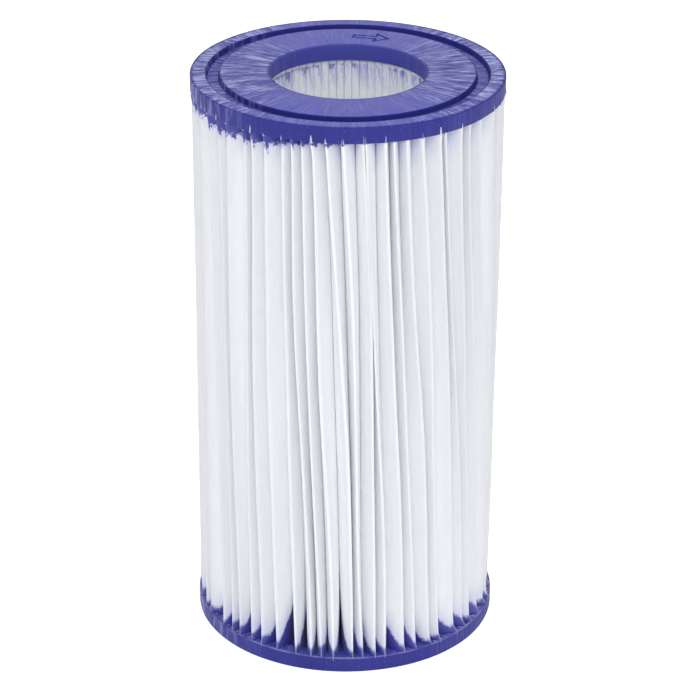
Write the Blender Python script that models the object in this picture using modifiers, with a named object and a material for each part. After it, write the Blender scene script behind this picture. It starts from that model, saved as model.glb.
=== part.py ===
"""Pleated water filter cartridge: two cast vinyl end caps, one pleated sheet and the glue bead of its seam.

Units are metres and +Z is up. The origin is the centre of the face that the cartridge stands on.
The sheet is one strip, folded back and forth round the bore. Both its ends sit in slots of the caps,
because the vinyl is cast round them, and its two free edges meet at +X, where the bead bonds them.
"""

import math

import bmesh
import bpy
from mathutils import Matrix, Vector

# Overall sizes
OVERALL_HEIGHT = 0.203
CAP_DIAMETER = 0.106
BORE_DIAMETER = 0.0528

# End caps
CAP_THICKNESS = 0.0056
CAP_EDGE = 0.0005  # chamfer on the outer face's two edges
RIM_LAND = 0.00545  # width of the flat between the rim and the groove
GROOVE_WIDTH = 0.0044
GROOVE_DEPTH = 0.0018
WEB_THICKNESS = 0.001  # vinyl left between the groove's floor and the slot's floor
SLOT_WALL = 0.0009  # vinyl left between the slot and the rim, and between the slot and the bore
CAP_STEPS = 96
WELD_DISTANCE = 0.00001

# Pleated sheet
PLEAT_COUNT = 60
SHEET_THICKNESS = 0.0004

# Seam
BEAD_DEPTH = 0.007  # along the radius
BEAD_SETBACK = 0.001  # from the sheet's free edges

# What is cast or glued in place keeps this gap to its neighbour
CLEARANCE = 0.0003

CAP_RADIUS = CAP_DIAMETER / 2
BORE_RADIUS = BORE_DIAMETER / 2
SLOT_WIDTH = SHEET_THICKNESS + 2 * CLEARANCE
FOLD_INNER_RADIUS = BORE_RADIUS + SLOT_WALL + SLOT_WIDTH / 2
FOLD_OUTER_RADIUS = CAP_RADIUS - SLOT_WALL - SLOT_WIDTH / 2
PLEAT_ANGLE = 2 * math.pi / PLEAT_COUNT
# A fold is as wide as the space between two folds at the bore
FOLD_HALF_WIDTH = FOLD_INNER_RADIUS * math.tan(PLEAT_ANGLE / 4)
SLOT_FLOOR = GROOVE_DEPTH + WEB_THICKNESS
SHEET_END = SLOT_FLOOR + CLEARANCE  # height of the sheet's lower end, and its distance below the top

VINYL_BLUE = (0.050, 0.052, 0.290, 1.0)
VINYL_ROUGHNESS = 0.40
SHEET_WHITE = (0.800, 0.810, 0.830, 1.0)
SHEET_ROUGHNESS = 0.85
GLUE_AMBER = (0.720, 0.690, 0.600, 1.0)
GLUE_ROUGHNESS = 0.35


def clear_scene():
    for obj in list(bpy.data.objects):
        bpy.data.objects.remove(obj)


def new_collection(name):
    collection = bpy.data.collections.new(name)
    bpy.context.scene.collection.children.link(collection)
    return collection


def new_material(name, colour, roughness):
    material = bpy.data.materials.new(name)
    material.use_nodes = True
    shader = material.node_tree.nodes["Principled BSDF"]
    shader.inputs["Base Color"].default_value = colour
    shader.inputs["Roughness"].default_value = roughness
    shader.inputs["Metallic"].default_value = 0.0
    return material


def new_object(name, mesh, collection, material=None):
    obj = bpy.data.objects.new(name, mesh)
    collection.objects.link(obj)
    if material:
        mesh.materials.append(material)
    return obj


def mesh_from(bm, name):
    mesh = bpy.data.meshes.new(name)
    bm.to_mesh(mesh)
    bm.free()
    return mesh


def polyline(bm, points, closed=False):
    """The edges that join these points in order."""
    verts = [bm.verts.new(point) for point in points]
    ends = verts[1:] + verts[:1] if closed else verts[1:]
    return [bm.edges.new(pair) for pair in zip(verts, ends)]


def fold_point(radius, angle, offset):
    """A point beside a fold that lies at this radius and angle, seen from above."""
    outward = Vector((math.cos(angle), math.sin(angle), 0))
    sideways = Vector((-math.sin(angle), math.cos(angle), 0))
    return outward * radius + sideways * offset


def sheet_path(overrun):
    """The middle of the folded sheet, seen from above, which runs past the two free edges by the overrun."""
    points = []
    for pleat in range(PLEAT_COUNT):
        inner = pleat * PLEAT_ANGLE
        outer = inner + PLEAT_ANGLE / 2
        points.append(fold_point(FOLD_INNER_RADIUS, inner, FOLD_HALF_WIDTH))
        points.append(fold_point(FOLD_OUTER_RADIUS, outer, -FOLD_HALF_WIDTH))
        points.append(fold_point(FOLD_OUTER_RADIUS, outer, FOLD_HALF_WIDTH))
        points.append(fold_point(FOLD_INNER_RADIUS, inner + PLEAT_ANGLE, -FOLD_HALF_WIDTH))
    points[0] = fold_point(FOLD_INNER_RADIUS - overrun, 0, FOLD_HALF_WIDTH)
    points[-1] = fold_point(FOLD_INNER_RADIUS - overrun, 0, -FOLD_HALF_WIDTH)
    return points


def pleated_strip(name, bottom, top, thickness, overrun, collection, material=None):
    """The sheet's path drawn upwards from bottom to top, and given its thickness equally on both sides."""
    bm = bmesh.new()
    edges = polyline(bm, [point + Vector((0, 0, bottom)) for point in sheet_path(overrun)])
    drawn = bmesh.ops.extrude_edge_only(bm, edges=edges)
    upper = [item for item in drawn["geom"] if isinstance(item, bmesh.types.BMVert)]
    bmesh.ops.translate(bm, verts=upper, vec=(0, 0, top - bottom))
    bmesh.ops.recalc_face_normals(bm, faces=bm.faces)
    strip = new_object(name, mesh_from(bm, name), collection, material)
    wall = strip.modifiers.new("Thickness", "SOLIDIFY")
    wall.thickness = thickness
    wall.offset = 0
    wall.use_even_offset = True
    return strip


def cap_section():
    """Half of the cap's cross-section as (radius, height), with the outer face at height 0."""
    groove_outer = CAP_RADIUS - RIM_LAND
    groove_inner = groove_outer - GROOVE_WIDTH
    return [
        (BORE_RADIUS, CAP_THICKNESS),
        (CAP_RADIUS, CAP_THICKNESS),
        (CAP_RADIUS, CAP_EDGE),
        (CAP_RADIUS - CAP_EDGE, 0),
        (groove_outer, 0),
        (groove_outer, GROOVE_DEPTH),
        (groove_inner, GROOVE_DEPTH),
        (groove_inner, 0),
        (BORE_RADIUS + CAP_EDGE, 0),
        (BORE_RADIUS, CAP_EDGE),
    ]


def cap_mesh(material):
    bm = bmesh.new()
    polyline(bm, [(radius, 0, height) for radius, height in cap_section()], closed=True)
    mesh = mesh_from(bm, "end_cap_section")
    mesh.materials.append(material)
    return mesh


def end_cap(name, mesh, slot, collection):
    """A cap as it stands on its outer face, turned from its section and slotted for the sheet's end."""
    cap = new_object(name, mesh, collection)
    turn = cap.modifiers.new("Turn", "SCREW")
    turn.axis = "Z"
    turn.steps = CAP_STEPS
    turn.render_steps = CAP_STEPS
    turn.use_merge_vertices = True
    turn.merge_threshold = WELD_DISTANCE
    cut = cap.modifiers.new("Sheet slot", "BOOLEAN")
    cut.operation = "DIFFERENCE"
    cut.solver = "EXACT"
    cut.object = slot
    return cap


def end_leg_offset(radius):
    """How far the middle of each end leg of the sheet lies from the seam's plane, at this radius."""
    start = fold_point(FOLD_INNER_RADIUS, 0, FOLD_HALF_WIDTH)
    end = fold_point(FOLD_OUTER_RADIUS, PLEAT_ANGLE / 2, -FOLD_HALF_WIDTH)
    share = (radius - start.x) / (end.x - start.x)
    return start.y + share * (end.y - start.y)


def seam_bead(collection, material):
    """The wedge of glue between the sheet's two end legs, from cap to cap."""
    inner = FOLD_INNER_RADIUS + BEAD_SETBACK
    outer = inner + BEAD_DEPTH
    bottom = CAP_THICKNESS + CLEARANCE
    top = OVERALL_HEIGHT - bottom
    bm = bmesh.new()
    size = Matrix.Diagonal((BEAD_DEPTH, 1, top - bottom, 1))
    middle = Matrix.Translation(((inner + outer) / 2, 0, (bottom + top) / 2))
    corners = bmesh.ops.create_cube(bm, size=1, matrix=middle @ size)["verts"]
    for corner in corners:
        half_width = end_leg_offset(corner.co.x) - SHEET_THICKNESS / 2 - CLEARANCE
        corner.co.y = math.copysign(half_width, corner.co.y)
    return new_object("seam_bead", mesh_from(bm, "seam_bead"), collection, material)


def build():
    clear_scene()
    parts = new_collection("filter_cartridge")
    cutters = new_collection("cutters")
    vinyl = new_material("cast_vinyl", VINYL_BLUE, VINYL_ROUGHNESS)
    fabric = new_material("pleated_fabric", SHEET_WHITE, SHEET_ROUGHNESS)
    glue = new_material("seam_glue", GLUE_AMBER, GLUE_ROUGHNESS)

    top = OVERALL_HEIGHT
    pleated_strip("pleated_media", SHEET_END, top - SHEET_END, SHEET_THICKNESS, 0, parts, fabric)
    seam_bead(parts, glue)

    slot = pleated_strip("slot_cutter", SLOT_FLOOR, top - SLOT_FLOOR, SLOT_WIDTH, CLEARANCE, cutters)
    slot.hide_render = True
    slot.display_type = "WIRE"
    section = cap_mesh(vinyl)
    end_cap("bottom_end_cap", section, slot, parts)
    upper = end_cap("top_end_cap", section, slot, parts)
    upper.location.z = OVERALL_HEIGHT
    upper.rotation_euler.x = math.pi


build()
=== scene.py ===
"""Looks of the pleated filter cartridge: two cast vinyl end caps, the pleated sheet and its glued seam.

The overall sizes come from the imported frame. The sheet is one strip of fabric, folded back and forth
round the bore by a geometry tree. The caps are turned shapes, and the bead of glue follows the sheet's
two free legs. The front is at -Y, and left and right are as seen from there.
"""

import math

import bmesh
import bpy
from mathutils import Matrix, Vector, noise


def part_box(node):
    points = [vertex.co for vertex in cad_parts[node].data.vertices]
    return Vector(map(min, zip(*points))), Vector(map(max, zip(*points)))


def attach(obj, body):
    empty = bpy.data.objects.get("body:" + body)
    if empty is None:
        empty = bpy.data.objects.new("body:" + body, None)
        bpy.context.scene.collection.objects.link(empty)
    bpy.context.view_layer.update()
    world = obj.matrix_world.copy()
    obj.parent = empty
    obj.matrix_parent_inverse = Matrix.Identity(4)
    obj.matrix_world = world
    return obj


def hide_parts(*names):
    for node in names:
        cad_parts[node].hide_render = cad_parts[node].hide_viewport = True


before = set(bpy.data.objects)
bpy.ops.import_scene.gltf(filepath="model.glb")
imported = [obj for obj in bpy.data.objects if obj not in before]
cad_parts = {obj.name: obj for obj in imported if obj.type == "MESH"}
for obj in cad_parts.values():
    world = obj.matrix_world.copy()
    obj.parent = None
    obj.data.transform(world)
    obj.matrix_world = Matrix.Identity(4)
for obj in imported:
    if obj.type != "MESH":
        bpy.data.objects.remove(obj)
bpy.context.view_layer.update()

MM = 0.001

# Places that the frame gives
TOP_CAP_LOW, TOP_CAP_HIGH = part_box("top_end_cap")
_, BOTTOM_CAP_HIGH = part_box("bottom_end_cap")
MEDIA_LOW, MEDIA_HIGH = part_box("pleated_media")
HEIGHT = TOP_CAP_HIGH.z
CAP_RADIUS = TOP_CAP_HIGH.x
CAP_THICKNESS = BOTTOM_CAP_HIGH.z
UNDERSIDE = TOP_CAP_LOW.z

# The caps' section, and how far its corners are rounded
BORE_RADIUS = 26.4 * MM
GROOVE_OUTER = CAP_RADIUS - 5.45 * MM
GROOVE_INNER = GROOVE_OUTER - 4.4 * MM
GROOVE_DEPTH = 1.8 * MM
EDGE_ROUND = 0.35 * MM
LIP_ROUND = 0.30 * MM
GROOVE_ROUND = 0.25 * MM
BORE_ROUND = 0.15 * MM
ROUND_STEPS = 4
CAP_SEGMENTS = 360
CAP_CREASE = math.radians(50)

# Unevenness of the cast: its depth and how many waves there are to a metre
CAST_SEED = 7
CAST_SWELL = 0.05 * MM
CAST_SWELL_WAVES = 60
CAST_RIPPLE = 0.02 * MM
CAST_RIPPLE_WAVES = 260

# The pressed arrow: its corners in millimetres, its outline and its place on the face
MARK_CORNERS = ((-6.6, -1.7), (1.2, -1.7), (1.2, -4.6), (6.8, 0.0), (1.2, 4.6), (1.2, 1.7), (-6.6, 1.7))
MARK_LINE = 1.0 * MM
MARK_DEPTH = 0.65 * MM
MARK_ABOVE = 1 * MM  # how far its cutter stands proud of the face
MARK_RADIUS = 35.0 * MM
MARK_TURN = math.radians(77)
MARK_CREASE = math.radians(40)

# The sheet's folds
PLEATS = 60
INNER_RADIUS = BORE_RADIUS + 1.3 * MM
TIP_RADIUS = CAP_RADIUS - 0.45 * MM
FABRIC = 0.42 * MM  # the sheet's thickness
LEG_GAP = 0.23 * MM  # from a pleat's middle to the middle of its leg, at the inner fold
BEND_LENGTH = 0.36 * MM  # how far the inner fold's bend reaches outwards
BEND_STEPS = 3
LEG_STEPS = 2
NOSE_STEPS = 6
HALF_STEPS = BEND_STEPS + LEG_STEPS + NOSE_STEPS
PLEAT_STEPS = 2 * HALF_STEPS
SHEET_ROWS = 36
ROW_CROWDING = 0.085  # the rows lie closer together beside the caps
SHEET_SEED = 4.0

# How the folds stand: strays and sway are in pitches
BUNCH = math.radians(5.6)
LEAN = math.radians(18)
LAY = math.radians(7)
SWAY = 1.6
SLOW_STRAY = 2.3
QUICK_STRAY = 0.35

# How the folds open, and where their tips end
CLEARANCE = 0.235 * MM  # from a fold's side to halfway to the next fold
NARROWEST_NOSE = 0.40 * MM
SHORTEST_NOSE = 2.2 * MM
LONGEST_NOSE = 6.5 * MM
PINCHED_LEAST = 16 * MM  # how far above the bottom cap a fold is fully open
PINCHED_MOST = 46 * MM
TIP_SCATTER = 0.9 * MM
TIP_TAPER_TOP = 0.30 * MM
TIP_TAPER_BOTTOM = 0.5 * MM
TIP_DRAWBACK = 6  # per metre, of a tip that leans away from its place

# The seam's bead: the shares of the way out at which its section has corners
GLUE_SHARES = (0.04, 0.13, 0.24, 0.33)
GLUE_CLEARANCE = 0.02 * MM
GLUE_IN_CAP = 1 * MM

# Colours, as linear light
VINYL_DEEP = (0.012, 0.013, 0.174)
VINYL_BLUE = (0.019, 0.020, 0.218)
# painted light: the blue of vinyl as it looks lit and reflecting the white room, laid on the face and the
# bore's wall
VINYL_LIT = (0.071, 0.074, 0.398)
VINYL_PALE = (0.420, 0.450, 0.760)
# painted light: the fabric's white dimmed for the outer crests, where the lamps fall most
FABRIC_DIMMED_CREST = (0.602, 0.613, 0.652)
FABRIC_WHITE = (0.935, 0.960, 0.968)
# partly painted shade: the blue of vinyl soaked into the fabric, also laid deep in the valleys for their
# shade
STAIN_AND_SHADE_BLUE = (0.036, 0.038, 0.300)
# partly painted shade: the lavender of the halos beside the blue, and of the painted shade under the top cap
HALO_AND_SHADE_LAVENDER = (0.430, 0.450, 0.760)
GLUE_AMBER = (0.640, 0.560, 0.380)
FLOOR_PALE = (0.930, 0.930, 0.930)
FLOOR_WHITE = (0.950, 0.950, 0.950)

# Vinyl drawn into the fabric
CLIMB_LEAST = -2.0 * MM
CLIMB_MOST = 8.0 * MM
# partly painted shade: how much further the blue reaches deep in the valleys, standing for their dark shade
DEEP_SHADE_CLIMB = 9 * MM
HALO_HEIGHT = 10 * MM
INNER_RUN_CLEAN = 1.4 * MM  # below the top cap, where the inner folds' streaks thin out

# Floor, light and camera
FLOOR_RADIUS = 4.0
FLOOR_SEGMENTS = 96
FLOOR_DROP = 0.1 * MM
FLOOR_GLOW = 0.50
SKY_STRENGTH = 0.59
LAMPS = (
    # name, place, size, watts
    ("front", (0.0, -1.25, 1.05), 0.8, 5.3),
    ("left", (-0.95, -0.90, 1.10), 0.8, 2.9),
    ("right", (0.95, -0.90, 1.10), 0.8, 3.2),
    ("back", (0.0, 1.30, 1.00), 0.8, 0.8),
    ("overhead", (0.0, 0.0, 1.5), 1.1, 4.8),
)
LIGHT_BOUNCES = 10
CAMERA_AIM = (0, 0, 0.100)
CAMERA_ELEVATION = math.radians(25.62)
CAMERA_DISTANCE = 0.9732
CAMERA_ROLL = math.radians(0.34)
CAMERA_SENSOR = 36.0
CAMERA_LENS = 143.41
CAMERA_SHIFT = (0.0023, 0.0003)


# Node trees written as sums and products

class Field:
    """A socket of a node tree that can be added to, multiplied, divided and raised to a power."""

    def __init__(self, tree, socket):
        self.tree = tree
        self.socket = socket

    def __add__(self, other):
        return math_node(self.tree, "ADD", self, other)

    __radd__ = __add__

    def __sub__(self, other):
        return math_node(self.tree, "SUBTRACT", self, other)

    def __rsub__(self, other):
        return math_node(self.tree, "SUBTRACT", other, self)

    def __mul__(self, other):
        return math_node(self.tree, "MULTIPLY", self, other)

    __rmul__ = __mul__

    def __truediv__(self, other):
        return math_node(self.tree, "DIVIDE", self, other)

    def __rtruediv__(self, other):
        return math_node(self.tree, "DIVIDE", other, self)

    def __mod__(self, other):
        return math_node(self.tree, "FLOORED_MODULO", self, other)

    def __pow__(self, other):
        return math_node(self.tree, "POWER", self, other)


def plug(tree, value, socket):
    """Joins a field to a socket, or sets the socket to a number, a colour or a vector."""
    if isinstance(value, Field):
        tree.links.new(value.socket, socket)
    else:
        socket.default_value = value


def math_node(tree, operation, *values):
    node = tree.nodes.new("ShaderNodeMath")
    node.operation = operation
    for value, socket in zip(values, node.inputs):
        plug(tree, value, socket)
    return Field(tree, node.outputs[0])


def function(operation):
    """A function that makes one math node of this kind."""
    def make(*values):
        tree = next(value.tree for value in values if isinstance(value, Field))
        return math_node(tree, operation, *values)
    return make


sine = function("SINE")
cosine = function("COSINE")
floor_of = function("FLOOR")
root = function("SQRT")
least = function("MINIMUM")
most = function("MAXIMUM")
size_of = function("ABSOLUTE")
sign_of = function("SIGN")


def spread(value, low, high, start=0.0, end=1.0, smooth=False):
    """The value mapped from low..high to start..end, and held at both ends."""
    node = value.tree.nodes.new("ShaderNodeMapRange")
    node.interpolation_type = "SMOOTHSTEP" if smooth else "LINEAR"
    ends = {"Value": value, "From Min": low, "From Max": high, "To Min": start, "To Max": end}
    for name, number in ends.items():
        plug(value.tree, number, node.inputs[name])
    return Field(value.tree, node.outputs["Result"])


def between(share, start, end):
    """From start to end as the share goes from 0 to 1."""
    return start + share * (end - start)


def vector(x, y, z):
    tree = next(value.tree for value in (x, y, z) if isinstance(value, Field))
    node = tree.nodes.new("ShaderNodeCombineXYZ")
    for value, socket in zip((x, y, z), node.inputs):
        plug(tree, value, socket)
    return Field(tree, node.outputs[0])


def axes(place):
    node = place.tree.nodes.new("ShaderNodeSeparateXYZ")
    plug(place.tree, place, node.inputs[0])
    return [Field(place.tree, socket) for socket in node.outputs]


def cloud(place, scale=1.0, detail=2.0, roughness=0.5, distortion=0.0):
    """Smooth noise from 0 to 1."""
    node = place.tree.nodes.new("ShaderNodeTexNoise")
    plug(place.tree, place, node.inputs["Vector"])
    node.inputs["Scale"].default_value = scale
    node.inputs["Detail"].default_value = detail
    node.inputs["Roughness"].default_value = roughness
    node.inputs["Distortion"].default_value = distortion
    return Field(place.tree, node.outputs[0])


def mixed(share, start, end):
    """Two colours mixed by a share."""
    tree = share.tree
    node = tree.nodes.new("ShaderNodeMix")
    node.data_type = "RGBA"
    plug(tree, share, node.inputs[0])
    for value, socket in ((start, node.inputs[6]), (end, node.inputs[7])):
        plug(tree, value if isinstance(value, Field) else (*value, 1.0), socket)
    return Field(tree, node.outputs[2])


# The pleated sheet

def home_angle(pleat, pitch, bunch):
    """Where a pleat stands: the folds are packed closest at the front and are widest apart at the sides."""
    even = (pleat + 0.5) * pitch
    return even + bunch * (sine(even * 2) - cosine(even))


def wandering(pleat, height, seed):
    """How far a pleat's outer fold strays from its place, in pitches: each pleat strays its own way."""
    own = pleat % PLEATS
    slow = cloud(vector(own * 7.31, height * 0.7, seed), detail=1.0)
    quick = cloud(vector(own * 3.77 + 40, height * 1.8, seed), detail=1.0)
    return (slow - 0.5) * SLOW_STRAY + (quick - 0.5) * QUICK_STRAY


def tip_angle(pleat, height, seed, pitch, straight, lean, lay):
    """The direction of a pleat's outer fold: laid over away from the front, leaning most beside the seam."""
    circle = 1.7  # a larger circle through the noise makes shorter waves round the sheet
    wave = vector(cosine(straight) * circle, sine(straight) * circle, height * 0.8 + seed)
    sway = cloud(wave, detail=1.0)
    turn = lean * (0.5 + 0.5 * cosine(straight)) * (0.5 - height) + lay * cosine(straight)
    return straight + turn + (sway - 0.5) * SWAY * pitch + wandering(pleat, height, seed) * pitch


def sheet_tree():
    """The tree that folds a flat grid into the sheet, and the values of its inputs."""
    tree = bpy.data.node_groups.new("Pleated sheet", "GeometryNodeTree")
    tree.is_modifier = True
    inputs = {}
    for name, kind, amount in (
        ("Pleats", "NodeSocketInt", PLEATS),
        ("Inner radius", "NodeSocketFloat", INNER_RADIUS),
        ("Tip radius", "NodeSocketFloat", TIP_RADIUS),
        ("Rim radius", "NodeSocketFloat", CAP_RADIUS),
        ("Leg gap", "NodeSocketFloat", LEG_GAP),
        ("Bend length", "NodeSocketFloat", BEND_LENGTH),
        ("Bottom", "NodeSocketFloat", MEDIA_LOW.z),
        ("Top", "NodeSocketFloat", MEDIA_HIGH.z),
        ("Cap thickness", "NodeSocketFloat", CAP_THICKNESS),
        ("Lean", "NodeSocketFloat", LEAN),
        ("Lay", "NodeSocketFloat", LAY),
        ("Bunch", "NodeSocketFloat", BUNCH),
        ("Clearance", "NodeSocketFloat", CLEARANCE),
        ("Seed", "NodeSocketFloat", SHEET_SEED),
        ("Fabric", "NodeSocketMaterial", fabric_material()),
    ):
        socket = tree.interface.new_socket(name, in_out="INPUT", socket_type=kind)
        inputs[socket.identifier] = amount
    tree.interface.new_socket("Geometry", in_out="OUTPUT", socket_type="NodeSocketGeometry")
    given = tree.nodes.new("NodeGroupInput")

    def value(name):
        return Field(tree, given.outputs[name])

    pitch = math.tau / value("Pleats")
    grid = tree.nodes.new("GeometryNodeMeshGrid")
    plug(tree, value("Pleats") * PLEAT_STEPS - 2 * BEND_STEPS + 1, grid.inputs["Vertices X"])
    grid.inputs["Vertices Y"].default_value = SHEET_ROWS + 1

    # Where a grid point lies: its column along the fold's path, and its row up the sheet
    index = Field(tree, tree.nodes.new("GeometryNodeInputIndex").outputs[0])
    nudge = 1e-4  # keeps whole quotients from being rounded down
    column = floor_of(index / (SHEET_ROWS + 1) + nudge) + BEND_STEPS
    row = (index % (SHEET_ROWS + 1)) / SHEET_ROWS
    height = row - sine(row * math.tau) * ROW_CROWDING
    pleat = least(floor_of(column / PLEAT_STEPS + nudge), value("Pleats") - 1)
    step = column - pleat * PLEAT_STEPS
    side = sign_of(step - HALF_STEPS)
    rise = HALF_STEPS - size_of(step - HALF_STEPS)  # 0 at the inner fold, HALF_STEPS at the tip
    bend = spread(rise, 0, BEND_STEPS) * (math.pi / 2)
    leg = spread(rise, BEND_STEPS, BEND_STEPS + LEG_STEPS)
    nose = spread(rise, BEND_STEPS + LEG_STEPS, HALF_STEPS) * (math.pi / 2)
    z = between(height, value("Bottom"), value("Top"))

    # The pleat's own tip and the one beyond this leg
    seed = value("Seed")
    own_home = home_angle(pleat, pitch, value("Bunch"))
    next_home = home_angle(pleat + side, pitch, value("Bunch"))
    own_tip = tip_angle(pleat, height, seed, pitch, own_home, value("Lean"), value("Lay"))
    next_tip = tip_angle(pleat + side, height, seed, pitch, next_home, value("Lean"), value("Lay"))
    half_gap = size_of(next_tip - own_tip) * 0.5 * value("Tip radius")

    # How far a fold opens: pinched above the bottom cap, full higher up, and less where two folds part
    above = z - value("Cap thickness")
    below = value("Top") - z
    own = pleat % PLEATS
    reach = cloud(vector(own * 9.71, 7.7, seed), detail=0.0)
    pinch = spread(above, 0, spread(reach, 0.3, 0.7, PINCHED_LEAST, PINCHED_MOST)) ** 0.85
    squeeze = cloud(vector(own * 6.37, 1.9, seed), detail=0.0)
    tight = spread(squeeze, 0.34, 0.50, 0.40, 1.0, smooth=True)
    parting = cloud(vector(own * 5.13 + side * 0.4, height * 1.2, seed + 9), detail=1.0)
    full = spread(parting, 0.28, 0.42, 0.90, 1.0, smooth=True)
    gather = spread(below, 2 * MM, 12 * MM, 0.90, 1.0)
    openness = between(pinch, tight, full) * gather
    nose_width = openness * most(half_gap - value("Clearance"), NARROWEST_NOSE)
    nose_length = spread(nose_width, 0, 2.5 * MM, SHORTEST_NOSE, LONGEST_NOSE)

    # The tip draws back where the fold strays, and meets the mould's wall inside the caps
    stray = (own_tip - own_home) * value("Tip radius")
    in_cap = most(spread(above, 0, 3 * MM, 1.0, 0.0), spread(below, 3 * MM, 6 * MM, 1.0, 0.0))
    touch = cloud(vector(own * 2.17, 3.3, seed), detail=0.0)
    free_tip = value("Tip radius") - stray * stray * TIP_DRAWBACK
    taper = (
        spread(below, 0, MEDIA_HIGH.z - UNDERSIDE, TIP_TAPER_TOP, 0.0)
        + spread(above, -0.8 * MM, 1 * MM, TIP_TAPER_BOTTOM, 0.0)
    )
    reach_out = value("Rim radius") - free_tip + (touch - 0.50) * TIP_SCATTER - taper
    tip_radius = free_tip + in_cap * reach_out
    leg_start = value("Inner radius") + value("Bend length")
    leg_end = tip_radius - nose_length
    radius = (
        value("Inner radius") + value("Bend length") * (1 - cosine(bend))
        + (leg_end - leg_start) * leg + nose_length * sine(nose)
    )

    # Sideways: the pleat's middle line swings from its root to its tip, and the legs stand off it
    depth = (radius - value("Inner radius")) / (value("Tip radius") - value("Inner radius"))
    swing = most(depth, 0) ** 1.8
    middle = between(swing, own_home, own_tip)
    beyond = between(swing, next_home, next_tip)
    half_pitch = size_of(next_home - own_home) * 0.5 * value("Inner radius")
    bend_share = 1 - sine(bend) * (1 - value("Leg gap") / half_pitch)
    nose_share = nose_width / most(half_gap, 0.5 * MM)
    share = between(leg, bend_share, nose_share) * most(1 - most(sine(nose), 0) ** 1.25, 0) ** 0.75
    angle = middle + (beyond - middle) * 0.5 * share
    place = vector(cosine(angle) * radius, sine(angle) * radius, z)

    fold = tree.nodes.new("GeometryNodeSetPosition")
    tree.links.new(grid.outputs["Mesh"], fold.inputs["Geometry"])
    plug(tree, place, fold.inputs["Position"])
    random = cloud(vector(pleat * 11.7 + side * 3.1, 5.5, seed), detail=0.0)
    stored = store(tree, fold.outputs[0], "fold", "FLOAT_VECTOR", vector(rise / HALF_STEPS, random, 0.0))
    path = (column - BEND_STEPS) / HALF_STEPS * (value("Tip radius") - value("Inner radius"))
    stored = store(tree, stored, "UVMap", "FLOAT2", vector(path, z, 0.0), domain="CORNER")
    smooth = tree.nodes.new("GeometryNodeSetShadeSmooth")
    tree.links.new(stored, smooth.inputs["Geometry"])
    real = tree.nodes.new("GeometryNodeRealizeInstances")
    tree.links.new(smooth.outputs[0], real.inputs[0])
    finish = tree.nodes.new("GeometryNodeSetMaterial")
    tree.links.new(real.outputs[0], finish.inputs["Geometry"])
    tree.links.new(given.outputs["Fabric"], finish.inputs["Material"])
    result = tree.nodes.new("NodeGroupOutput")
    tree.links.new(finish.outputs[0], result.inputs[0])
    return tree, inputs


def store(tree, geometry, name, kind, value, domain="POINT"):
    node = tree.nodes.new("GeometryNodeStoreNamedAttribute")
    node.data_type = kind
    node.domain = domain
    node.inputs["Name"].default_value = name
    tree.links.new(geometry, node.inputs["Geometry"])
    plug(tree, value, node.inputs["Value"])
    return node.outputs[0]


def finished(obj):
    """Makes the result of an object's modifiers its plain mesh."""
    mesh = bpy.data.meshes.new_from_object(obj.evaluated_get(bpy.context.evaluated_depsgraph_get()))
    obj.modifiers.clear()
    obj.data = mesh
    mesh.name = obj.name


def new_piece(name, mesh):
    obj = bpy.data.objects.new(name, mesh)
    bpy.context.scene.collection.objects.link(obj)
    return obj


def pleated_sheet():
    sheet = new_piece("pleated_sheet", bpy.data.meshes.new("pleated_sheet"))
    tree, inputs = sheet_tree()
    fold = sheet.modifiers.new("Pleats", "NODES")
    fold.node_group = tree
    for identifier, value in inputs.items():
        fold[identifier] = value
    finished(sheet)
    return sheet


def thicken(sheet):
    """Gives the folded sheet its thickness, half on each side."""
    wall = sheet.modifiers.new("Thickness", "SOLIDIFY")
    wall.thickness = FABRIC
    wall.offset = 0
    finished(sheet)


# The glue in the seam

def seam_glue(sheet):
    """A bead between the sheet's two free legs, from cap to cap, that follows them up."""
    rows = SHEET_ROWS + 1
    points = [vertex.co for vertex in sheet.data.vertices]
    columns = len(points) // rows
    mesh = bpy.data.meshes.new("seam_glue")
    bm = bmesh.new()
    rings = []
    for row in range(rows):
        z = points[row].z
        if not CAP_THICKNESS - GLUE_IN_CAP < z < UNDERSIDE + GLUE_IN_CAP:
            continue
        pairs = [leg_pair(points, columns, rows, row, share) for share in GLUE_SHARES]
        rings.append(glue_ring(bm, pairs))
    for low, high in zip(rings, rings[1:]):
        for i, corner in enumerate(low):
            after = (i + 1) % len(low)
            bm.faces.new((corner, low[after], high[after], high[i]))
    bm.faces.new(list(reversed(rings[0])))
    bm.faces.new(rings[-1])
    bmesh.ops.recalc_face_normals(bm, faces=bm.faces)
    for face in bm.faces:
        face.smooth = True
    bm.to_mesh(mesh)
    bm.free()
    return new_piece("seam_glue", mesh)


def leg_pair(points, columns, rows, row, share):
    """The points of the first and the last leg at this row, this share of the way out."""
    place = share * LEG_STEPS
    step = min(int(place), LEG_STEPS - 1)
    rest = place - step
    first = points[step * rows + row].lerp(points[(step + 1) * rows + row], rest)
    other = columns - 1 - step
    last = points[other * rows + row].lerp(points[(other - 1) * rows + row], rest)
    return first, last


def glue_ring(bm, pairs):
    """The bead's section at one height: down one leg and back along the other, a little clear of both."""
    gap = FABRIC / 2 + GLUE_CLEARANCE
    one, other = [], []
    for first, last in pairs:
        across = (last - first).normalized()
        one.append(bm.verts.new(first + across * gap))
        other.append(bm.verts.new(last - across * gap))
    return one + other[::-1]


# The end caps

def rounded(corner, before, after, radius):
    """Points of a curve that rounds a corner of a section."""
    corner, before, after = Vector(corner), Vector(before), Vector(after)
    start = corner + (before - corner).normalized() * radius
    end = corner + (after - corner).normalized() * radius
    points = []
    for step in range(ROUND_STEPS + 1):
        share = step / ROUND_STEPS
        points.append(start.lerp(corner, share).lerp(corner.lerp(end, share), share))
    return points


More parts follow.
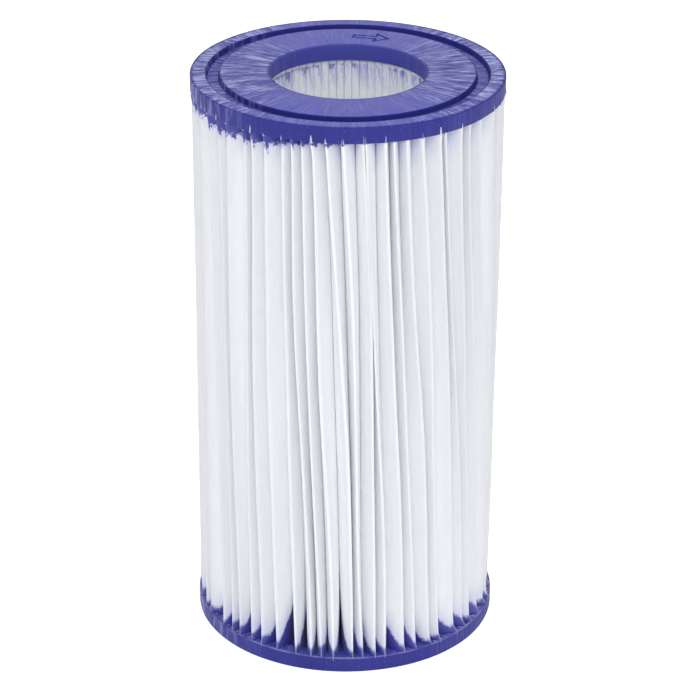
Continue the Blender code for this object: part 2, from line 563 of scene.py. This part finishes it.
def cap_outline():
    """Half of a cap's section as (radius, height, rounding); its outer face lies at height 0."""
    return [
        (BORE_RADIUS, CAP_THICKNESS, BORE_ROUND),
        (CAP_RADIUS, CAP_THICKNESS, LIP_ROUND),
        (CAP_RADIUS, 0, EDGE_ROUND),
        (GROOVE_OUTER, 0, LIP_ROUND),
        (GROOVE_OUTER, GROOVE_DEPTH, GROOVE_ROUND),
        (GROOVE_INNER, GROOVE_DEPTH, GROOVE_ROUND),
        (GROOVE_INNER, 0, LIP_ROUND),
        (BORE_RADIUS, 0, EDGE_ROUND),
    ]


def cap_profile():
    outline = cap_outline()
    points = []
    for i, (radius, height, bend) in enumerate(outline):
        before = outline[i - 1]
        after = outline[(i + 1) % len(outline)]
        points += rounded((radius, height), before[:2], after[:2], bend)
    return points


def join_loops(bm, rings):
    """Faces from each ring of points to the next, and from the last back to the first."""
    for ring, after in zip(rings, rings[1:] + rings[:1]):
        for i, vertex in enumerate(ring):
            j = (i + 1) % len(ring)
            bm.faces.new((vertex, ring[j], after[j], after[i]))


def cap_mesh(name, top):
    """A cap turned from its profile; the top one is turned over, so that its outer face looks up."""
    noise.seed_set(CAST_SEED)
    profile = cap_profile()
    bm = bmesh.new()
    rings = []
    for segment in range(CAP_SEGMENTS):
        angle = math.tau * segment / CAP_SEGMENTS
        ring = []
        for point in profile:
            radius, height = point
            height = HEIGHT - height if top else height
            place = Vector((math.cos(angle) * radius, math.sin(angle) * radius, height))
            ring.append(bm.verts.new(place + hand_cast(place)))
        rings.append(ring)
    join_loops(bm, rings)
    bmesh.ops.recalc_face_normals(bm, faces=bm.faces)
    mesh = bpy.data.meshes.new(name)
    bm.to_mesh(mesh)
    bm.free()
    mesh.shade_smooth()
    mesh.set_sharp_from_angle(angle=CAP_CREASE)
    return mesh


def hand_cast(place):
    """The slight unevenness of vinyl that was poured and set."""
    swell = noise.noise_vector(place * CAST_SWELL_WAVES) * CAST_SWELL
    ripple = noise.noise_vector(place * CAST_RIPPLE_WAVES + Vector((5, 3, 1))) * CAST_RIPPLE
    return swell + ripple


def arrow_outline(inset):
    """The corners of a plain block arrow, drawn in by a little."""
    corners = [Vector((x * MM, y * MM)) for x, y in MARK_CORNERS]
    drawn = []
    for i, corner in enumerate(corners):
        ahead = (corners[(i + 1) % len(corners)] - corner).normalized()
        behind = (corner - corners[i - 1]).normalized()
        left = Vector((-ahead.y, ahead.x)) + Vector((-behind.y, behind.x))
        drawn.append(corner + left * (inset * 2 / left.length_squared))
    return drawn


def mould_mark(cap):
    """A plain arrow pressed as an outline into the top face, between the bore and the groove."""
    place = (
        Matrix.Rotation(MARK_TURN, 4, "Z") @ Matrix.Translation((MARK_RADIUS, 0, HEIGHT))
        @ Matrix.Rotation(math.radians(-90), 4, "Z")
    )
    loops = [(0, -MARK_DEPTH), (0, MARK_ABOVE), (MARK_LINE, MARK_ABOVE), (MARK_LINE, -MARK_DEPTH)]
    bm = bmesh.new()
    rings = [
        [bm.verts.new(place @ Vector((*corner, height))) for corner in arrow_outline(inset)]
        for inset, height in loops
    ]
    join_loops(bm, rings)
    bmesh.ops.recalc_face_normals(bm, faces=bm.faces)
    mesh = bpy.data.meshes.new("mark_cutter")
    bm.to_mesh(mesh)
    bm.free()
    cutter = new_piece("mark_cutter", mesh)
    cut = cap.modifiers.new("Mark", "BOOLEAN")
    cut.operation = "DIFFERENCE"
    cut.solver = "EXACT"
    cut.object = cutter
    finished(cap)
    cap.data.set_sharp_from_angle(angle=MARK_CREASE)
    bpy.data.objects.remove(cutter)


# Materials

def new_material(name):
    material = bpy.data.materials.new(name)
    material.use_nodes = True
    tree = material.node_tree
    shader = tree.nodes["Principled BSDF"]
    coordinates = tree.nodes.new("ShaderNodeTexCoord")
    return material, tree, shader, Field(tree, coordinates.outputs["Object"])


def add_bump(tree, shader, height, distance):
    bump = tree.nodes.new("ShaderNodeBump")
    bump.inputs["Distance"].default_value = distance
    plug(tree, height, bump.inputs["Height"])
    tree.links.new(bump.outputs["Normal"], shader.inputs["Normal"])


def vinyl_material():
    """Soft cast vinyl: satin, with ripples that run out from the bore and pale bloomed streaks with painted
    reflections along them.
    """
    material, tree, shader, place = new_material("cast_vinyl")
    x, y, z = axes(place)
    radius = root(x * x + y * y)
    across, ahead = x / radius, y / radius
    aside = size_of(x) / radius  # 0 at the front and the back, 1 at the two sides

    # Where a point lies: the flat face, the land outside the groove, the groove's floor, or the bore's wall
    face = spread(radius, CAP_RADIUS - 1.2 * MM, CAP_RADIUS - 0.3 * MM, 1.0, 0.05)
    face = face * spread(radius, BORE_RADIUS + 0.3 * MM, BORE_RADIUS + 1.0 * MM, 0.1, 1.0)
    for wall_radius in (GROOVE_OUTER, GROOVE_INNER):
        face = face * spread(size_of(radius - wall_radius), 0.15 * MM, 0.45 * MM)
    land = spread(radius, GROOVE_OUTER - 0.2 * MM, GROOVE_OUTER + 0.2 * MM)
    groove_middle = (GROOVE_OUTER + GROOVE_INNER) / 2
    groove = spread(size_of(radius - groove_middle), 2.0 * MM, 2.2 * MM, 1.0, 0.0)
    # painted light: this mask lifts the bore's wall towards the lit face colour, against the shade inside
    # the bore
    bore = spread(radius, BORE_RADIUS + 0.1 * MM, BORE_RADIUS + 0.6 * MM, 0.7, 0.0)

    ripple = cloud(vector(across * 46, ahead * 46, radius * 34 + z * 30), detail=3.0, roughness=0.62)
    streaks = vector(across * 40, ahead * 40, radius * 130)
    streak = cloud(streaks, detail=5.0, roughness=0.7, distortion=0.5)
    broad = cloud(vector(across * 9, ahead * 9, radius * 60 + z * 25), detail=2.0)
    mottle = cloud(place, scale=260, detail=4.0, roughness=0.7)
    grain = cloud(place, scale=2600, detail=2.0)
    patch = cloud(place, scale=42, detail=2.0)

    # Painted light: the face is painted lighter than the walls, as lit vinyl that reflects the white room,
    # with painted reflection streaks towards the two sides and painted shade on the groove's floor
    tone = mixed(spread(patch, 0.3, 0.7), VINYL_DEEP, VINYL_BLUE)
    flank = spread(aside, 0.52 - land * 0.24, 0.97 - land * 0.12, 0.12, 1.0, smooth=True)
    plain = 0.72 + mottle * 0.3 - groove * 0.2
    streaked = between(flank, plain, spread(streak, 0.36, 0.50, 0.2, 1.0))
    tone = mixed(most(face * streaked, bore), tone, VINYL_LIT)

    # Pale bloomed streaks with painted reflections on the face, strongest at the two sides, and painted
    # sheen in upright streaks on the left of the outer wall
    bloom_and_sheen = spread(streak, 0.46, 0.60, 0.0, 1.0) * spread(broad, 0.35, 0.6, 0.35, 1.0) * flank * face
    # the painted reflection is stronger on the outer land and weaker in the groove, as painted shade there
    bloom_and_sheen = bloom_and_sheen * (1 + land * 0.4 - groove * 0.45)
    left = spread(across, 0.2, -0.6, 0.1, 1.0)
    upright = cloud(vector(across * 20, ahead * 20, z * 60), detail=3.0, roughness=0.6)
    wall_sheen = (1 - face) * (1 - bore) * spread(aside, 0.55, 0.97) * left
    bloom_and_sheen = most(bloom_and_sheen, wall_sheen * spread(upright, 0.47, 0.62, 0.0, 0.42))

    # A painted highlight along the bottom cap's upper edge, and pale specks
    edge_highlight = spread(radius, CAP_RADIUS - 0.75 * MM, CAP_RADIUS - 0.35 * MM)
    edge_highlight = edge_highlight * spread(z, CAP_THICKNESS - 0.45 * MM, CAP_THICKNESS - 0.05 * MM)
    edge_highlight = edge_highlight * spread(broad, 0.35, 0.6, 0.10, 0.45)
    edge_highlight = edge_highlight * spread(z, CAP_THICKNESS + 1 * MM, CAP_THICKNESS + 2 * MM, 1.0, 0.0)
    specks = tree.nodes.new("ShaderNodeTexVoronoi")
    specks.inputs["Scale"].default_value = 420
    plug(tree, place, specks.inputs["Vector"])
    speck = spread(Field(tree, specks.outputs["Distance"]), 0.04, 0.07, 0.35, 0.0)

    pale = most(most(bloom_and_sheen, edge_highlight), speck)
    plug(tree, mixed(pale, tone, VINYL_PALE), shader.inputs["Base Color"])
    plug(tree, spread(ripple, 0.3, 0.75, 0.30, 0.46) + (1 - face) * 0.25, shader.inputs["Roughness"])
    shader.inputs["IOR"].default_value = 1.46
    shader.inputs["Specular IOR Level"].default_value = 0.33
    relief = (ripple * between(flank, 0.25, 0.7) + broad * 0.6 + streak * flank * 2.6) * face
    add_bump(tree, shader, relief + grain * 0.05, 0.35 * MM)
    return material


def fabric_material():
    """Spun-bond polyester: matt white fibres, with vinyl drawn up into the folds beside the caps."""
    material, tree, shader, place = new_material("spun_fabric")
    x, y, z = axes(place)
    radius = root(x * x + y * y)
    flat = tree.nodes.new("ShaderNodeUVMap")
    flat.uv_map = "UVMap"
    along, up, _ = axes(Field(tree, flat.outputs[0]))
    fold = tree.nodes.new("ShaderNodeAttribute")  # how far out in its fold, and a random number for each leg
    fold.attribute_name = "fold"
    rise, random, _ = axes(Field(tree, fold.outputs["Vector"]))
    fibres = cloud(vector(along * 5200, up * 1300, 0.0), detail=3.0, roughness=0.7, distortion=0.8)
    felt = cloud(vector(along * 900, up * 700, 2.0), detail=3.0, roughness=0.6)
    soft = cloud(vector(along * 160, up * 22, 4.0), detail=2.0)
    mottle = spread(felt * 0.6 + soft * 0.4, 0.3, 0.7)
    # Painted light: the white is dimmed on the outer crests and lifted in the depths, most towards the
    # sides, as painted fill against the folds' shade, with a painted highlight along the crest lines
    # strongest at the front and the back; the mottle is the fabric's own
    inward = spread(radius, CAP_RADIUS - 0.6 * MM, CAP_RADIUS - 6 * MM)
    ridge_highlight = spread(rise, 0.84, 0.96)
    aside = size_of(x) / radius
    share = inward * between(aside, 0.71, 0.88) + mottle * 0.15 + (0.06 + 0.40 * ridge_highlight) * (1 - aside)
    white = mixed(share, FABRIC_DIMMED_CREST, FABRIC_WHITE)

    # From the bottom cap vinyl climbs highest in the valleys, and its edge is ragged along the fibres
    ragged = cloud(vector(along * 1500, up * 260, 7.0), detail=3.0, roughness=0.65)
    wash = cloud(vector(x * 120, y * 120, 3.0), detail=2.0)
    valley = spread(radius, CAP_RADIUS - 0.8 * MM, CAP_RADIUS - 7 * MM, 0.0, 1.0)
    climb = valley * spread(random, 0.3, 0.7, CLIMB_LEAST, CLIMB_MOST) + (ragged - 0.5) * 3 * MM
    # partly painted shade: deep in the valleys the blue climbs further, painting the dark shade there along
    # with the vinyl's staining
    climb = climb + spread(radius, CAP_RADIUS - 2.5 * MM, CAP_RADIUS - 9 * MM, 0.0, DEEP_SHADE_CLIMB)
    climb = climb + spread(wash, 0.35, 0.65, 1.2 * MM, 4.6 * MM)
    above = z - CAP_THICKNESS
    low = spread(above - climb, -1.2 * MM, 0.9 * MM, 1.0, 0.0, smooth=True)
    low = low * spread(rise, 0.95, 1.0, 1.0, 0.45)
    halo_low = spread(above - climb, 0.0, HALO_HEIGHT, 0.75, 0.0) ** 1.6
    halo_low = halo_low * spread(wash, 0.35, 0.65, 0.4, 1.0)

    # Under the top cap it runs down the outer folds on the left, and down the inner folds in streaks
    below = UNDERSIDE - z
    turn = cloud(vector(x * 38, y * 38, 1.0), detail=1.0)
    run_side = spread(x, 6 * MM, -30 * MM, 0.0, 1.0) * spread(turn, 0.35, 0.6, 0.55, 1.0)
    jagged = cloud(vector(along * 1500, up * 300, 11.0), detail=4.0, roughness=0.7)
    blocky = cloud(vector(along * 260, 3.0, 1.0), detail=2.0)
    length = spread(blocky, 0.35, 0.65, 1.6 * MM, 6.0 * MM) + spread(jagged, 0.3, 0.7, -2.0 * MM, 2.4 * MM)
    outer_run = run_side * length + spread(valley, 0.15, 0.8) * random * 1.5 * MM
    inner = spread(rise, 0.42, 0.28)
    inner_run = inner * (spread(random, 0.45, 0.7, 0.3 * MM, 6 * MM) * spread(jagged, 0.25, 0.6, 0.4, 1.0))
    run = most(outer_run, inner_run)
    high = spread(below - run, -0.35 * MM, 0.35 * MM, 1.0, 0.0, smooth=True)
    high = high * (1 - inner * spread(below, INNER_RUN_CLEAN, 1.7 * MM, 0.97, 0.4))
    halo_high = spread(below - run, 0.0, 3 * MM, 0.35, 0.0, smooth=True) * spread(run, 0.5 * MM, 2 * MM)
    drawn = cloud(vector(x * 190, y * 190, up * 16 + 15.0), detail=2.0, roughness=0.55)
    # Painted shade: a hazy lavender in the valleys just under the top cap's overhang
    hollow = spread(radius, CAP_RADIUS - 0.6 * MM, CAP_RADIUS - 3.5 * MM)
    shade_under_cap = hollow * spread(below, 1 * MM, 12 * MM, 0.42, 0.0) * spread(turn, 0.35, 0.6, 0.35, 1.0)
    faint = inner * spread(below, INNER_RUN_CLEAN, 1.8 * MM) * spread(below, 3 * MM, 12 * MM, 0.95, 0.0)
    halo_high = most(most(halo_high, shade_under_cap), faint * spread(drawn, 0.42, 0.56))
    colour = mixed(most(halo_low, halo_high), white, HALO_AND_SHADE_LAVENDER)

    # A few tips come through the top cap's wall as clean slivers
    sliver = spread(z, UNDERSIDE - 0.2 * MM, UNDERSIDE, 0.0, 0.7) * spread(random, 0.46, 0.50)
    stain_and_shade = most(low, high * (1 - sliver))
    plug(tree, mixed(stain_and_shade, colour, STAIN_AND_SHADE_BLUE), shader.inputs["Base Color"])
    plug(tree, spread(stain_and_shade, 0.0, 1.0, 0.85, 0.45), shader.inputs["Roughness"])
    shader.inputs["Sheen Weight"].default_value = 0.15
    shader.inputs["Subsurface Weight"].default_value = 0.3
    shader.inputs["Subsurface Radius"].default_value = (1.0, 1.0, 1.0)
    shader.inputs["Subsurface Scale"].default_value = 1.0 * MM
    add_bump(tree, shader, fibres * 0.5 + felt * 0.5, 0.10 * MM)
    return material


def glue_material():
    """Set hot-melt glue: amber, cloudy and a little glossy."""
    material, tree, shader, place = new_material("seam_glue")
    cloudy = cloud(place, scale=260, detail=3.0)
    ripple = cloud(place, scale=900, detail=2.0)
    plug(tree, mixed(cloudy, GLUE_AMBER, FABRIC_WHITE), shader.inputs["Base Color"])
    plug(tree, spread(ripple, 0.3, 0.7, 0.25, 0.45), shader.inputs["Roughness"])
    add_bump(tree, shader, ripple, 0.2 * MM)
    return material


def floor_material():
    material, tree, shader, place = new_material("pale_floor")
    mottle = cloud(place, scale=30, detail=3.0)
    plug(tree, mixed(mottle, FLOOR_PALE, FLOOR_WHITE), shader.inputs["Base Color"])
    shader.inputs["Roughness"].default_value = 0.9
    shader.inputs["Emission Color"].default_value = (1.0, 1.0, 1.0, 1.0)
    shader.inputs["Emission Strength"].default_value = FLOOR_GLOW
    return material


# Floor, light and camera

def pale_floor():
    bm = bmesh.new()
    bmesh.ops.create_circle(bm, cap_ends=True, segments=FLOOR_SEGMENTS, radius=FLOOR_RADIUS)
    mesh = bpy.data.meshes.new("floor")
    bm.to_mesh(mesh)
    bm.free()
    floor = new_piece("floor", mesh)
    floor.location.z = -FLOOR_DROP
    mesh.materials.append(floor_material())


def soft_light(name, place, target, size, power):
    light = bpy.data.lights.new(name, "AREA")
    light.shape = "DISK"
    light.size = size
    light.energy = power
    lamp = bpy.data.objects.new(name, light)
    bpy.context.scene.collection.objects.link(lamp)
    lamp.location = place
    lamp.rotation_euler = (Vector(target) - Vector(place)).to_track_quat("-Z", "Y").to_euler()


def studio():
    world = bpy.data.worlds.new("studio")
    world.use_nodes = True
    sky = world.node_tree.nodes["Background"]
    sky.inputs["Color"].default_value = (1.0, 1.0, 1.0, 1.0)
    sky.inputs["Strength"].default_value = SKY_STRENGTH
    bpy.context.scene.world = world
    middle = (0, 0, HEIGHT / 2)
    for name, place, size, power in LAMPS:
        soft_light(name, place, middle, size, power)
    bpy.context.scene.view_settings.view_transform = "Standard"
    bpy.context.scene.cycles.diffuse_bounces = LIGHT_BOUNCES  # white folds light one another


def camera():
    """Looks down a little on the cartridge from the front, its axis upright in the frame."""
    target = Vector(CAMERA_AIM)
    outwards = Vector((0, -math.cos(CAMERA_ELEVATION), math.sin(CAMERA_ELEVATION)))
    data = bpy.data.cameras.new("camera")
    data.sensor_width = CAMERA_SENSOR
    data.lens = CAMERA_LENS
    data.shift_x, data.shift_y = CAMERA_SHIFT
    eye = bpy.data.objects.new("camera", data)
    bpy.context.scene.collection.objects.link(eye)
    eye.location = target + CAMERA_DISTANCE * outwards
    look = (target - eye.location).to_track_quat("-Z", "Y").to_matrix()
    eye.rotation_euler = (look @ Matrix.Rotation(CAMERA_ROLL, 3, "Z")).to_euler()
    bpy.context.scene.camera = eye


def build():
    camera()
    studio()
    pale_floor()

    vinyl = vinyl_material()
    sheet = pleated_sheet()
    glue = seam_glue(sheet)
    glue.data.materials.append(glue_material())
    thicken(sheet)
    top = new_piece("top_cap", cap_mesh("top_cap", True))
    bottom = new_piece("bottom_cap", cap_mesh("bottom_cap", False))
    mould_mark(top)
    for cap in (top, bottom):
        cap.data.materials.clear()
        cap.data.materials.append(vinyl)

    for piece, node, slot in (
        (sheet, "pleated_media", "media_fabric"),
        (glue, "seam_bead", "seam_glue"),
        (top, "top_end_cap", "cap_vinyl"),
        (bottom, "bottom_end_cap", "cap_vinyl"),
    ):
        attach(piece, "root")
        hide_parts(node)


build()
